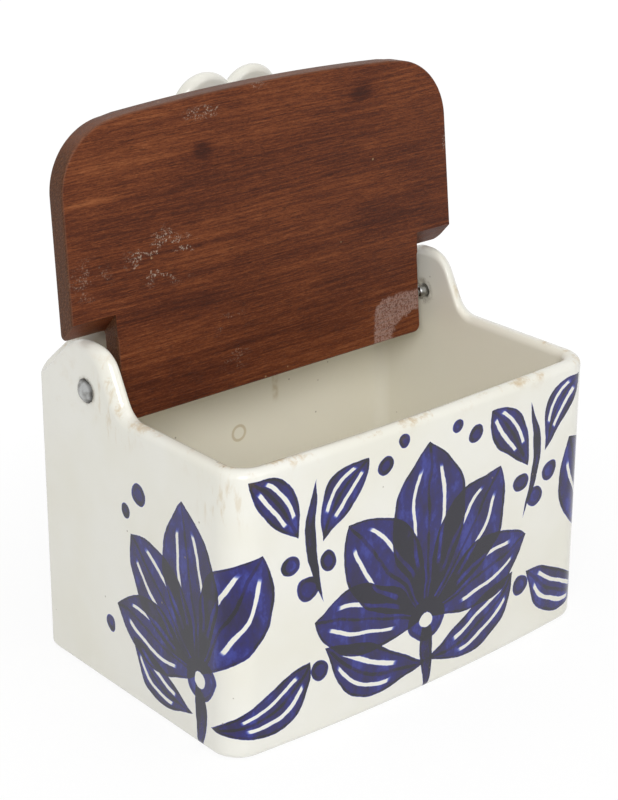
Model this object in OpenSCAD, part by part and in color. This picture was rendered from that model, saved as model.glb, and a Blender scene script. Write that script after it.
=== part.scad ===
// Wall-hung ceramic salt box with a hinged wooden lid, shown with the lid leaning back.
// X runs along the front, the front faces -Y, Z is up; the origin is under the middle of the box.

/* [Ceramic box] */
// Outer width at the rim
body_w = 175; // [150:1:200]
// Outer depth from the back to the middle of the bowed front
body_d = 126; // [110:1:140]
// Height of the rim
rim_h = 114.3; // [95:0.1:130]
// Thickness of the cast walls
wall = 6.5; // [5:0.1:8]
// Thickness of the floor
floor_t = 7; // [5:0.5:10]
// How far the front bows out in its middle at the rim
rim_bow = 2.4; // [1:0.1:8]
// How far the front bows out in its middle at the base
base_bow = 4.4; // [1:0.1:8]
// How much each side leans out from the rim to the base
draft = 2.5; // [0:0.1:4]
// How much the front draws in from the rim to the base
front_tuck = 2; // [0:0.1:4]
// Outer radius of the two front corners
front_r = 12; // [9:0.5:20]
// Outer radius of the two back corners
back_r = 4.5; // [3.5:0.5:9]
// Inner radius of the two front corners
well_front_r = 8; // [5:0.5:14]
// Inner radius of the two back corners
well_back_r = 6; // [4:0.5:12]
// Radius of the edge round the base
base_r = 3; // [1.5:0.1:5]
// Radius between the inner walls and the floor
well_r = 9; // [4:0.5:14]

/* [Ears] */
// Height of the ears above the rim
ear_rise = 23; // [18:0.5:28]
// Radius of the rounded top of an ear
ear_r = 14; // [11:0.5:16]
// Length of the flat on top of an ear
ear_flat = 3; // [1:0.5:8]
// How far the middle of an ear lies behind the hinge line
ear_set = 1; // [0:0.5:3]
// Radius of the sweep from the front of an ear into the rim
ear_foot_r = 10; // [6:0.5:14]
// Steepness of the front of an ear
ear_front_angle = 61; // [55:1:75]
// Steepness of the back of an ear
ear_back_angle = 44; // [38:1:50]

/* [Crest] */
// Height of the two lobes of the crest above the base
crest_h = 221.3; // [205:0.1:230]
// Radius of each lobe
lobe_r = 13.5; // [9:0.5:18]
// Distance from the middle of the crest to the middle of each lobe
lobe_x = 11; // [7:0.5:14]
// Steepness of the sides of the crest
crest_side_angle = 84; // [75:1:86]
// Straight drop of the crest below a lobe
lobe_drop = 17.5; // [10:0.5:22]
// Radius of the hollow sweep between a lobe and the shoulder
sweep_r = 80; // [60:1:90]
// Slope of the shoulders
shoulder_angle = 33; // [28:1:40]
// Radius of the dip where a shoulder meets an ear
dip_r = 4; // [3.5:0.5:7]
// How far the crest leans forward at its top
crest_lean = 6.5; // [0:0.5:8]
// Diameter of the hanging hole
hang_d = 7; // [4:0.5:9]
// Distance from the hanging hole to the top of the lobes
hang_drop = 21; // [17:0.5:30]

/* [Hinge] */
// Distance from the back of the box to the hinge line
hinge_back = 34; // [28:0.5:40]
// Diameter of the smooth shank that turns in an ear
shank_d = 5; // [4:0.1:6]
// Radial play of the shank in its bore
shank_play = 0.08; // [0.02:0.01:0.1]
// Diameter of the threaded end in the wood
thread_d = 3.2; // [2.4:0.1:4]
// Depth of the threaded end in the wood
thread_depth = 17; // [10:0.5:25]
// Radial clearance round the threaded end
thread_play = 0.03; // [0.01:0.01:0.1]
// How far the smooth shank stands out inside the ear
shank_proud = 3; // [1:0.5:4]
// Diameter of the domed head
head_d = 9.6; // [8:0.1:12]
// Height of the domed head
head_h = 2.3; // [1.5:0.1:3.5]
// Gap between the head and the ear
head_gap = 0.3; // [0.1:0.05:0.5]
// Extra radius of the rounded mouths of the ear bores
mouth_r = 1.2; // [0.5:0.1:1.6]

/* [Lid] */
// Thickness of the board
lid_t = 8.8; // [7:0.1:11]
// Gap between the closed lid and the rim
lid_gap = 0.3; // [0.1:0.1:1]
// Width of the neck between the ears
neck_w = 149; // [120:0.5:150]
// Distance from the hinge line to the end of the neck
neck_back = 15; // [8:0.5:20]
// Distance from the hinge line to the shoulders of the leaf on its upper face
leaf_start = 19; // [18:0.1:22]
// How much further out the shoulders start on the lower face, to clear the ears
shoulder_bevel = 8; // [7.5:0.1:10]
// Width of the leaf at its shoulders
leaf_w = 187; // [178:0.5:200]
// How much narrower each side of the leaf is at its front corners
leaf_taper = 1.5; // [0:0.1:4]
// Distance from the hinge line to the middle of the front edge
leaf_reach = 101; // [98:0.5:110]
// How far the front edge bows out
leaf_bow = 4.5; // [2:0.5:9]
// Radius of the front corners of the leaf
leaf_corner_r = 26; // [10:0.5:30]
// Radius of the shoulder corners of the leaf
leaf_shoulder_r = 3; // [1:0.5:5]
// Radius of the corners at the end of the neck
neck_corner_r = 3; // [1:0.5:6]
// Radius between the neck and the leaf
neck_root_r = 1.5; // [1:0.5:4]
// Softening of the long edges of the board
edge_r = 1.2; // [0.5:0.1:2]
// Lean of the open lid past upright
lid_lean = 4; // [2:0.5:7]

/* [Hidden] */
glaze = [0.87, 0.87, 0.83];
teak = [0.42, 0.19, 0.10];
steel = [0.62, 0.63, 0.64];
$fn = 64;

// Middle line of the wall at the rim
mid_r = wall / 2;
mid_w = body_w / 2 - mid_r;

// Hinge line and ears
hinge_y = -hinge_back;
hinge_z = rim_h + lid_gap + lid_t / 2;
ear_h = rim_h + ear_rise;
ear_top_z = ear_h - ear_r;
ear_top_y = hinge_y + ear_set + ear_flat / 2;
ear_outer_x = half_w(hinge_z) + mid_r;
bore_r = shank_d / 2 + shank_play;

// Crest; glaze fills the notch between the lobes by a small angle and height
notch_fill = 6;
notch_lift = 0.5;
lean_power = 1.3;
lobe_z = crest_h - lobe_r;
hang_z = crest_h - hang_drop;

// Numbers of steps along the ridge and across it
round_steps = 6;
fillet_steps = 3;
wall_levels = [0, 0.53, 0.78, 1];

// Part of the way down from the rim to the base
function depth_part(z) = 1 - min(z, rim_h) / rim_h;

// Half width of the middle line at a height, wider towards the base
function half_w(z) = mid_w + draft * depth_part(z);

// Forward lean of the crest above the rim
function lean(z) = crest_lean * pow(max(0, z - rim_h) / (crest_h - rim_h), lean_power);

// Corner radius at an offset from the middle line, blended from the outer to the inner one
function corner_r(outer, inner, off) = outer + (inner - outer) * min(1, (mid_r - off) / wall);

// Outline at a height and an offset outward from the middle line, as
// [half width, back y, back radius, front radius, bow radius, bow centre y]
function outline(z, off) =
    let (hw = half_w(z),
         bow = rim_bow + (base_bow - rim_bow) * depth_part(z),
         big = (hw * hw + bow * bow) / (2 * bow))
    [hw + off,
     off - mid_r,
     corner_r(back_r, well_back_r, off),
     corner_r(front_r, well_front_r, off),
     big + off,
     big + mid_r - body_d + front_tuck * depth_part(z)];

// Centre of the front corner arc as [distance from the middle, y], and the angle it turns through
function corner(o) =
    let (x = o[0] - o[3], reach = o[4] - o[3])
    [x, o[5] - sqrt(reach * reach - x * x), 90 - asin(x / reach)];

// Lengths of the five stretches of half an outline, from the middle of the back
function stretches(o) =
    let (c = corner(o))
    [o[0] - o[2],
     PI / 2 * o[2],
     o[1] - o[2] - c[1],
     PI * o[3] * c[2] / 180,
     PI * o[4] * (90 - c[2]) / 180];

rim_line = outline(rim_h, 0);
rim_runs = stretches(rim_line);
side_start = rim_runs[0] + rim_runs[1];
front_start = side_start + rim_runs[2];
front_mid = front_start + rim_runs[3] + rim_runs[4];

// Distance along the rim for a place on the side wall
function side_s(y) = side_start + rim_line[1] - rim_line[2] - y;

// Stretch number and the part of it passed, for a distance along the rim
function stretch_of(s, k = 0) =
    k == 4 || s <= rim_runs[k] ? [k, s / rim_runs[k]] : stretch_of(s - rim_runs[k], k + 1);

// Point on the left half of an outline
function outline_point(place, z, off) =
    let (k = place[0],
         f = place[1],
         o = outline(z, off),
         c = corner(o),
         a = (90 - c[2]) * (1 - f))
    k == 0 ? [(o[2] - o[0]) * f, o[1]]
    : k == 1 ? [o[2] - o[0] - o[2] * sin(90 * f), o[1] - o[2] * (1 - cos(90 * f))]
    : k == 2 ? [-o[0], (o[1] - o[2]) * (1 - f) + c[1] * f]
    : k == 3 ? [-c[0] - o[3] * cos(c[2] * f), c[1] - o[3] * sin(c[2] * f)]
    : [-o[4] * sin(a), o[5] - o[4] * cos(a)];

// A station of the ridge is [distance along the rim, height, outward normal along, normal up].
// A convex arc has its centre below the ridge, a hollow one above it, and a level run follows the rim.
function convex(s, z, r, a0, a1, n) =
    [for (i = [0:n]) let (a = a0 + (a1 - a0) * i / n) [s + r * sin(a), z + r * cos(a), sin(a), cos(a)]];
function hollow(s, z, r, a0, a1, n) =
    [for (i = [0:n]) let (a = a0 + (a1 - a0) * i / n) [s - r * sin(a), z - r * cos(a), sin(a), cos(a)]];
function level(s0, s1, n) = [for (i = [1:n]) [s0 + (s1 - s0) * i / n, rim_h, 0, 1]];

// Where the hollow sweep of the crest ends, and the line of the shoulder from there
sweep_s = lobe_x + (lobe_r + sweep_r) * sin(crest_side_angle) + lobe_drop / tan(crest_side_angle);
sweep_z = lobe_z + (lobe_r + sweep_r) * cos(crest_side_angle) - lobe_drop;
sweep_end_s = sweep_s - sweep_r * sin(shoulder_angle);
sweep_end_z = sweep_z - sweep_r * cos(shoulder_angle);

// Where the line of the back of an ear leaves its rounded top
ear_line_s = side_s(ear_top_y) - ear_r * sin(ear_back_angle);
ear_line_z = ear_top_z + ear_r * cos(ear_back_angle);

// The shoulder line and the ear line meet in the dip, which is rounded
shoulder_fall = tan(shoulder_angle);
ear_climb = tan(ear_back_angle);
dip_s = (sweep_end_z - ear_line_z + shoulder_fall * sweep_end_s + ear_climb * ear_line_s)
        / (shoulder_fall + ear_climb);
dip_z = sweep_end_z - shoulder_fall * (dip_s - sweep_end_s);
dip_half = (shoulder_angle + ear_back_angle) / 2;
dip_tilt = (ear_back_angle - shoulder_angle) / 2;
dip_up = dip_r / cos(dip_half);

// Straight stretch on the front of an ear between its two arcs
ear_arc_fall = (ear_r + ear_foot_r) * (1 - cos(ear_front_angle));
ear_run = max(0, ear_rise - ear_arc_fall) / tan(ear_front_angle);
ear_front_s = side_s(ear_top_y) + ear_flat;
ear_foot_s = ear_front_s + (ear_r + ear_foot_r) * sin(ear_front_angle) + ear_run;

// Half of the ridge, from the notch of the crest to the middle of the front
valley_angle = asin(lobe_x / lobe_r);
ridge = concat(
    [[0, lobe_z + lobe_r * cos(valley_angle) + notch_lift, 0, 1]],
    convex(lobe_x, lobe_z, lobe_r, notch_fill - valley_angle, crest_side_angle, 10),
    hollow(sweep_s, sweep_z, sweep_r, crest_side_angle, shoulder_angle, 8),
    hollow(dip_s - dip_up * sin(dip_tilt), dip_z + dip_up * cos(dip_tilt), dip_r,
           shoulder_angle, -ear_back_angle, 5),
    convex(side_s(ear_top_y), ear_top_z, ear_r, -ear_back_angle, 0, 4),
    convex(ear_front_s, ear_top_z, ear_r, 0, ear_front_angle, 6),
    hollow(ear_foot_s, rim_h + ear_foot_r, ear_foot_r, ear_front_angle, 0, 5),
    level(ear_foot_s, front_start, 3),
    level(front_start, front_mid - rim_runs[4], 6),
    level(front_mid - rim_runs[4], front_mid, 5));

// A row of the skin is [offset outward, height, 0] on the base and the floor, [offset outward,
// lowest height, part of the way up to the crown] on a wall, and [offset outward, drop along the
// ridge's normal, 2] on the rounded crown.
outer_base = [for (i = [0:fillet_steps]) let (a = 90 * i / fillet_steps)
              [mid_r - base_r * (1 - sin(a)), base_r * (1 - cos(a)), 0]];
outer_wall = [for (f = [1:len(wall_levels) - 1]) [mid_r, base_r, wall_levels[f]]];
crown = [for (i = [1:round_steps - 1]) let (a = 180 * i / round_steps)
         [mid_r * cos(a), mid_r * (1 - sin(a)), 2]];
inner_wall = [for (f = [len(wall_levels) - 1:-1:1]) [-mid_r, floor_t + well_r, wall_levels[f]]];
inner_base = [for (i = [0:fillet_steps]) let (a = 90 * i / fillet_steps)
              [-mid_r - well_r * (1 - cos(a)), floor_t + well_r * (1 - sin(a)), 0]];
rows = concat(outer_base, outer_wall, crown, inner_wall, inner_base);

// Height of a row at a station; rows with part 2 belong to the rounded crown
function row_z(row, st) =
    row[2] == 2 ? st[1] - row[1] * st[3] : row[1] + (st[1] - mid_r * st[3] - row[1]) * row[2];
function row_s(row, st) = row[2] == 2 ? st[0] - row[1] * st[2] : st[0] - mid_r * st[2];

function body_point(row, st, side) =
    let (z = row_z(row, st),
         s = max(0, min(front_mid, row_s(row, st))),
         p = outline_point(stretch_of(s), z, row[0]))
    [side * p[0], p[1] - lean(z), z];

// The loop of stations: the left half, then the right half in reverse, without the two ends
last = len(ridge) - 1;
function body_ring(row) = concat(
    [for (i = [0:last]) body_point(row, ridge[i], 1)],
    [for (i = [last - 1:-1:1]) body_point(row, ridge[i], -1)]);

// Middle of a level ring, from its lowest and highest corners
function ring_mid(ring) =
    let (x = [for (p = ring) p[0]], y = [for (p = ring) p[1]])
    [(min(x) + max(x)) / 2, (min(y) + max(y)) / 2, ring[0][2]];

// Closed skin through rings of equal length, with a flat fan round the middle at each end
module skin(rings) {
    n = len(rings[0]);
    m = len(rings);
    low_mid = m * n;
    high_mid = m * n + 1;
    faces = [for (i = [0:n - 1]) let (k = (i + 1) % n) each concat(
        [[low_mid, i, k], [high_mid, (m - 1) * n + k, (m - 1) * n + i]],
        [for (j = [0:m - 2]) [j * n + i, (j + 1) * n + k, j * n + k]],
        [for (j = [0:m - 2]) [j * n + i, (j + 1) * n + i, (j + 1) * n + k]])];
    points = concat([for (r = rings) each r], [ring_mid(rings[0]), ring_mid(rings[m - 1])]);
    polyhedron(points = points, faces = faces);
}

// A solid of revolution along X, its profile given as [distance along the axis, radius]
module turned(profile) {
    rotate([0, 90, 0]) rotate_extrude() polygon([for (p = profile) [p[1], p[0]]]);
}

// Sizes are measured from the back of the box, and this brings the middle of its depth to Y = 0
module in_frame() {
    translate([0, body_d / 2, 0]) children();
}

// Bore through an ear with its glaze-rounded mouth towards the lid
module ear_bore() {
    inner_x = ear_outer_x - wall;
    translate([0, hinge_y, hinge_z]) turned([
        [inner_x - wall, 0],
        [inner_x - wall, bore_r + mouth_r],
        [inner_x, bore_r + mouth_r],
        [inner_x + mouth_r, bore_r],
        [ear_outer_x + wall, bore_r],
        [ear_outer_x + wall, 0]]);
}

module box_body() {
    color(glaze) in_frame() difference() {
        skin([for (row = rows) body_ring(row)]);
        ear_bore();
        mirror([1, 0, 0]) ear_bore();
        translate([0, 0, hang_z]) rotate([90, 0, 0])
            cylinder(d = hang_d, h = 4 * wall + 2 * crest_lean, center = true);
    }
}

// Outline of the board in its own plane, [x, distance from the hinge line], as corners with a
// radius, from the end of the neck on the right round to the left
leaf_hw = leaf_w / 2;
board_corners = [
    [neck_w / 2, -neck_back, neck_corner_r],
    [neck_w / 2, leaf_start, neck_root_r],
    [leaf_hw, leaf_start, leaf_shoulder_r],
    [leaf_hw - leaf_taper, leaf_reach - leaf_bow, leaf_corner_r]];

// Points of a rounded corner between its neighbours, each with the outward normal there
function unit(v) = v / norm(v);
function turn_of(a, b) = atan2(a[0] * b[1] - a[1] * b[0], a * b);
function rounded(before, at, after, r, n) =
    let (d0 = unit(at - before),
         d1 = unit(after - at),
         turn = turn_of(d0, d1),
         way = turn > 0 ? 1 : -1,
         cut = r * tan(abs(turn) / 2),
         c = at - d0 * cut + way * r * [-d0[1], d0[0]],
         a0 = atan2(-d0[0] * way, d0[1] * way))
    [for (i = [0:n]) let (a = a0 + turn * i / n, v = [cos(a), sin(a)]) [c + r * v, way * v]];

// Bowed front edge between the two front corners
bow_top_r = (pow(leaf_hw - leaf_taper, 2) + leaf_bow * leaf_bow) / (2 * leaf_bow);
bow_top_a = asin((leaf_hw - leaf_taper - leaf_corner_r) / bow_top_r);
corner_mid = [leaf_hw - leaf_taper, leaf_reach - leaf_bow];
bow_aim = corner_mid + [-cos(bow_top_a), sin(bow_top_a)];

half_board = concat(
    rounded([0, -neck_back], [neck_w / 2, -neck_back], [neck_w / 2, 0], neck_corner_r, 5),
    rounded([neck_w / 2, 0], [neck_w / 2, leaf_start], [leaf_hw, leaf_start], neck_root_r, 3),
    rounded([neck_w / 2, leaf_start], [leaf_hw, leaf_start], corner_mid, leaf_shoulder_r, 5),
    rounded([leaf_hw, leaf_start], corner_mid, bow_aim, leaf_corner_r, 10));
front_edge = [for (i = [1:7]) let (a = bow_top_a * (1 - i / 4))
              [[bow_top_r * sin(a), leaf_reach - bow_top_r * (1 - cos(a))], [sin(a), cos(a)]]];
function flip(p) = [[-p[0][0], p[0][1]], [-p[1][0], p[1][1]]];
board = concat(half_board, front_edge, [for (i = [len(half_board) - 1:-1:0]) flip(half_board[i])]);

// Rings of the board through its thickness, drawn in at both faces to soften the edges
board_rows = concat(
    [for (a = [90:-30:0]) [edge_r * (1 - cos(a)), edge_r * (1 - sin(a))]],
    [for (a = [0:30:90]) [edge_r * (1 - cos(a)), lid_t - edge_r * (1 - sin(a))]]);

// Bevel under a shoulder, drawn as a slice across the board and run out past its side
module shoulder_relief() {
    slope = shoulder_bevel / lid_t;
    past = lid_t;
    translate([neck_w / 2, 0, 0]) rotate([90, 0, 90]) linear_extrude(height = leaf_w) polygon([
        [leaf_start - slope * past, -lid_t / 2 - past],
        [leaf_start + shoulder_bevel + slope * past, lid_t / 2 + past],
        [-past, lid_t / 2 + past],
        [-past, -lid_t / 2 - past]]);
}

// Everything on the lid is drawn flat, with the hinge line along X and the face that covers the
// well upward, then stands up and leans back
module open_lid() {
    translate([0, hinge_y, hinge_z]) rotate([90 - lid_lean, 0, 0]) children();
}

module lid_board() {
    color(teak) in_frame() open_lid() difference() {
        skin([for (row = board_rows) [for (p = board)
            let (edge = p[0] - row[0] * p[1])
            [edge[0], edge[1], row[1] - lid_t / 2]]]);
        for (side = [0, 1]) mirror([side, 0, 0]) {
            translate([neck_w / 2 - thread_depth, 0, 0]) rotate([0, 90, 0])
                cylinder(r = thread_d / 2 + thread_play, h = 2 * thread_depth);
            shoulder_relief();
        }
    }
}

// Screw with a domed head, a smooth shank for the ear and a thinner threaded end, joined by a cone
step_run = 0.6;
head_x = ear_outer_x + head_gap;
head_r = head_d / 2;
dome_r = (head_r * head_r + head_h * head_h) / (2 * head_h);
dome = [for (i = [0:8]) let (a = asin(head_r / dome_r) * (1 - i / 8))
        [head_x + head_h - dome_r * (1 - cos(a)), dome_r * sin(a)]];
screw_tip = neck_w / 2 - thread_depth + thread_d;
shank_end = ear_outer_x - wall - shank_proud;

module hinge_screw() {
    translate([0, hinge_y, hinge_z]) turned(concat(
        [[screw_tip - thread_d / 2, 0],
         [screw_tip, thread_d / 2],
         [shank_end - step_run, thread_d / 2],
         [shank_end, shank_d / 2],
         [head_x, shank_d / 2]],
        dome));
}

module hinge_screw_right() {
    color(steel) in_frame() hinge_screw();
}

module hinge_screw_left() {
    color(steel) in_frame() mirror([1, 0, 0]) hinge_screw();
}

box_body();
lid_board();
hinge_screw_left();
hinge_screw_right();
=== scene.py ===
"""Looks of the salt box: a glazed ceramic box, a hinged wooden lid and two steel hinge screws.
Lengths in the shape formulas are in millimetres, measured as in the part's source, and the
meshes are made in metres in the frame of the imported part."""

import math

import bpy
import numpy as np
from mathutils import Matrix, Vector


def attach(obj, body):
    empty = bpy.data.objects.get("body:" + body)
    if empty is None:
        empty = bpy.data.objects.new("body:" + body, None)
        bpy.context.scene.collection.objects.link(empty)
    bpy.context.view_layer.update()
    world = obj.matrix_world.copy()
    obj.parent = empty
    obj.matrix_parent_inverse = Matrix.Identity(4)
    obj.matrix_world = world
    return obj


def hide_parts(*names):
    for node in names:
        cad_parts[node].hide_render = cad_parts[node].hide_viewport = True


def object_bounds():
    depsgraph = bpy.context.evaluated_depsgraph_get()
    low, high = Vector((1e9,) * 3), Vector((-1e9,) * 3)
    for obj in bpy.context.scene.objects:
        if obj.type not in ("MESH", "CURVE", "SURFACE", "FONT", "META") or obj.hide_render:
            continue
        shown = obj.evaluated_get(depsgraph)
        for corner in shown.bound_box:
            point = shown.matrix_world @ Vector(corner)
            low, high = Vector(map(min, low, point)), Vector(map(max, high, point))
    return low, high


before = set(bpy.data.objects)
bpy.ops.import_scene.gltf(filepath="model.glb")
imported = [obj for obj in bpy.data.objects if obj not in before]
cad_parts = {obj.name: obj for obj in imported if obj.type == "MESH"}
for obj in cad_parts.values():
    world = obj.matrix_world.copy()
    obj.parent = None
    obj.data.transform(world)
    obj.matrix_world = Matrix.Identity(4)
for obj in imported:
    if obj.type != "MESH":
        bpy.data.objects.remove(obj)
cad_low, cad_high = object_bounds()

MM = 0.001
QUARTER = math.pi / 2

# ---------------------------------------------------------------- sizes of the part, in mm
BODY_W, BODY_D, RIM_H, WALL, FLOOR_T = 175.0, 126.0, 114.3, 6.5, 7.0
RIM_BOW, BASE_BOW, DRAFT, FRONT_TUCK = 2.4, 4.4, 2.5, 2.0
FRONT_R, BACK_R, WELL_FRONT_R, WELL_BACK_R, BASE_R, WELL_R = 12.0, 4.5, 8.0, 6.0, 3.0, 9.0
EAR_RISE, EAR_R, EAR_FLAT, EAR_SET = 23.0, 14.0, 3.0, 1.0
EAR_FOOT_R, EAR_FRONT, EAR_BACK = 10.0, 61.0, 44.0
CREST_H, LOBE_R, LOBE_X, SIDE_ANGLE, LOBE_DROP, SWEEP_R = 221.3, 13.5, 11.0, 84.0, 17.5, 80.0
SHOULDER, DIP_R, CREST_LEAN, LEAN_POWER, HANG_D, HANG_DROP = 33.0, 4.0, 6.5, 1.3, 7.0, 21.0
NOTCH_FILL, LOBE_START = 0.5, 6.0
HINGE_BACK, SHANK_D, SHANK_PLAY, MOUTH_R, BORE_EDGE = 34.0, 5.0, 0.08, 1.2, 0.5
LID_T, LID_GAP, NECK_W, NECK_BACK, LEAF_START, BEVEL = 8.8, 0.3, 149.0, 15.0, 19.0, 8.0
LEAF_W, LEAF_TAPER, LEAF_REACH, LEAF_BOW, LEAF_CORNER_R = 187.0, 1.5, 101.0, 4.5, 26.0
LEAF_SHOULDER_R, NECK_CORNER_R, NECK_ROOT_R, LID_LEAN = 3.0, 3.0, 1.5, 4.0
EDGE_R, EDGE_INSET = 0.8, 0.6  # the inset is from the rounded edge to a ring on the flat faces
HEAD_D, HEAD_H, HEAD_GAP, THREAD_D, SHANK_PROUD, THREAD_DEPTH = 9.6, 2.3, 0.3, 3.2, 3.0, 17.0
THREAD_OUT, SHANK_EDGE, HEAD_EDGE, HEAD_EDGE_H, DOME_PART = 0.6, 0.1, 0.25, 0.06, 0.985

MID = WALL / 2
HINGE_Y, HINGE_Z = -HINGE_BACK, RIM_H + LID_GAP + LID_T / 2
TO_FRAME = BODY_D / 2

# ---------------------------------------------------------------- how fine the meshes are
LOBE_N, SWEEP_N, DIP_N, EAR_BACK_N, EAR_FRONT_N, FOOT_N = 26, 26, 14, 12, 18, 14
TANGENT_N, SHOULDER_N, SIDE_N, CORNER_N, BOW_N = 4, 10, 24, 22, 36
FILLET_N, WALL_N, LIP_N, EDGE_N, LEAF_FRONT_N = 8, 40, 20, 6, 60
BORE_SIDES, THREAD_SIDES, SCREW_SIDES, DOME_N = 48, 32, 96, 28
HOLE_SIDES = 50  # a multiple of 4 would put points on the seam at x = 0
BODY_SHARP, LID_SHARP, TURNED_SHARP, SCREW_SHARP = 60, 32, 35, 50  # degrees


def rad(a):
    return math.radians(a)


# ---------------------------------------------------------------- mesh helpers
def to_object(name, verts, faces, smooth=True, sharp=None):
    """A mesh object from points in mm and faces."""
    mesh = bpy.data.meshes.new(name)
    mesh.from_pydata((np.asarray(verts, float) * MM).tolist(), [], faces)
    mesh.validate()
    obj = bpy.data.objects.new(name, mesh)
    bpy.context.scene.collection.objects.link(obj)
    mesh.polygons.foreach_set("use_smooth", [smooth] * len(mesh.polygons))
    if sharp is not None:
        mesh.set_sharp_from_angle(angle=rad(sharp))
    return obj


def rings_to_faces(count, per_ring):
    """Faces between rings of points that follow each other."""
    faces = []
    for j in range(count - 1):
        a, b = j * per_ring, (j + 1) * per_ring
        for i in range(per_ring):
            k = (i + 1) % per_ring
            faces.append((a + i, a + k, b + k, b + i))
    return faces


def cut(obj, cutters, sharp):
    """Takes the cutters out of obj, and then removes them."""
    for c in cutters:
        mod = obj.modifiers.new("cut", "BOOLEAN")
        mod.operation, mod.solver, mod.object = "DIFFERENCE", "EXACT", c
    dg = bpy.context.evaluated_depsgraph_get()
    made = bpy.data.meshes.new_from_object(obj.evaluated_get(dg))
    obj.modifiers.clear()
    obj.data = made
    for c in cutters:
        bpy.data.objects.remove(c)
    made.polygons.foreach_set("use_smooth", [True] * len(made.polygons))
    made.set_sharp_from_angle(angle=rad(sharp))


def turned(name, profile, at, n, sharp=TURNED_SHARP):
    """A solid of revolution along X from [along, radius] points, with closed ends."""
    verts = []
    prof = [p for p in profile if p[1] > 1e-6]
    for x, r in prof:
        for i in range(n):
            a = 2 * math.pi * i / n
            verts.append((at[0] + x, at[1] + r * math.cos(a), at[2] + r * math.sin(a)))
    faces = rings_to_faces(len(prof), n)
    verts += [(at[0] + profile[0][0], at[1], at[2]), (at[0] + profile[-1][0], at[1], at[2])]
    first, last, top = len(verts) - 2, len(verts) - 1, (len(prof) - 1) * n
    for i in range(n):
        k = (i + 1) % n
        faces.append((first, k, i))
        faces.append((last, top + i, top + k))
    return to_object(name, verts, faces, sharp=sharp)


def bar(radius, half):
    """Profile of a plain round cutter."""
    return [(-half, 0), (-half, radius), (half, radius), (half, 0)]


def coords(obj):
    """The points of a mesh in mm."""
    co = np.zeros(len(obj.data.vertices) * 3, np.float32)
    obj.data.vertices.foreach_get("co", co)
    return co.reshape(-1, 3).astype(float) / MM


def point_vector(obj, name, values):
    layer = obj.data.attributes.new(name, "FLOAT_VECTOR", "POINT")
    layer.data.foreach_set("vector", np.asarray(values, np.float32).ravel())


# ---------------------------------------------------------------- the ceramic body
def depth_part(z):
    """0 at the rim and above, 1 at the base."""
    return 1 - min(z, RIM_H) / RIM_H


def half_w(z):
    return BODY_W / 2 - MID + DRAFT * depth_part(z)


def lean(z):
    """How far the back plate leans forward above the rim."""
    return CREST_LEAN * (max(0.0, z - RIM_H) / (CREST_H - RIM_H)) ** LEAN_POWER


def outline(z, off):
    """[half width, back y, back radius, front radius, bow radius, bow centre y]"""
    d, hw = depth_part(z), half_w(z)
    bow = RIM_BOW + (BASE_BOW - RIM_BOW) * d
    big = (hw * hw + bow * bow) / (2 * bow)
    part = min(1.0, (MID - off) / WALL)
    return [hw + off, off - MID, BACK_R + (WELL_BACK_R - BACK_R) * part,
            FRONT_R + (WELL_FRONT_R - FRONT_R) * part, big + off,
            big + MID - BODY_D + FRONT_TUCK * d]


def corner(o):
    """[x and y of the front corner's centre, angle that the corner turns through]"""
    x, reach = o[0] - o[3], o[4] - o[3]
    return [x, o[5] - math.sqrt(reach * reach - x * x), QUARTER - math.asin(x / reach)]


def stretches(o):
    """Lengths of half the back, back corner, side, front corner and half the front."""
    c = corner(o)
    return [o[0] - o[2], QUARTER * o[2], o[1] - o[2] - c[1], o[3] * c[2], o[4] * (QUARTER - c[2])]


RIM_LINE = outline(RIM_H, 0)
RUNS = stretches(RIM_LINE)
SIDE_START = RUNS[0] + RUNS[1]
FRONT_START = SIDE_START + RUNS[2]
FRONT_MID = FRONT_START + RUNS[3] + RUNS[4]


def side_s(y):
    """Length along the rim line from the middle of the back to y on the side."""
    return SIDE_START + RIM_LINE[1] - RIM_LINE[2] - y


def outline_point(s, z, off):
    """x and y of the point at length s along the left half of the outline."""
    k = 0
    while k < 4 and s > RUNS[k]:
        s -= RUNS[k]
        k += 1
    f = s / RUNS[k]
    o = outline(z, off)
    c = corner(o)
    if k == 0:
        return (o[2] - o[0]) * f, o[1]
    if k == 1:
        a = QUARTER * f
        return o[2] - o[0] - o[2] * math.sin(a), o[1] - o[2] * (1 - math.cos(a))
    if k == 2:
        return -o[0], (o[1] - o[2]) * (1 - f) + c[1] * f
    if k == 3:
        a = c[2] * f
        return -c[0] - o[3] * math.cos(a), c[1] - o[3] * math.sin(a)
    a = (QUARTER - c[2]) * (1 - f)
    return -o[4] * math.sin(a), o[5] - o[4] * math.cos(a)


# A station of the ridge is (length along the rim line, height, two parts of its normal).
def arc(s, z, r, a0, a1, n):
    """Stations on an arc, which bulges upward where r is positive and is hollow otherwise."""
    return [(s + r * math.sin(rad(a)), z + r * math.cos(rad(a)), math.sin(rad(a)), math.cos(rad(a)))
            for a in np.linspace(a0, a1, n + 1)]


def level(s0, s1, n):
    return [(s0 + (s1 - s0) * i / n, RIM_H, 0.0, 1.0) for i in range(1, n + 1)]


def between(a, b, n):
    """Stations on the straight line from one station to the next."""
    return [tuple(a[k] + (b[k] - a[k]) * i / n for k in range(4)) for i in range(1, n)]


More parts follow.
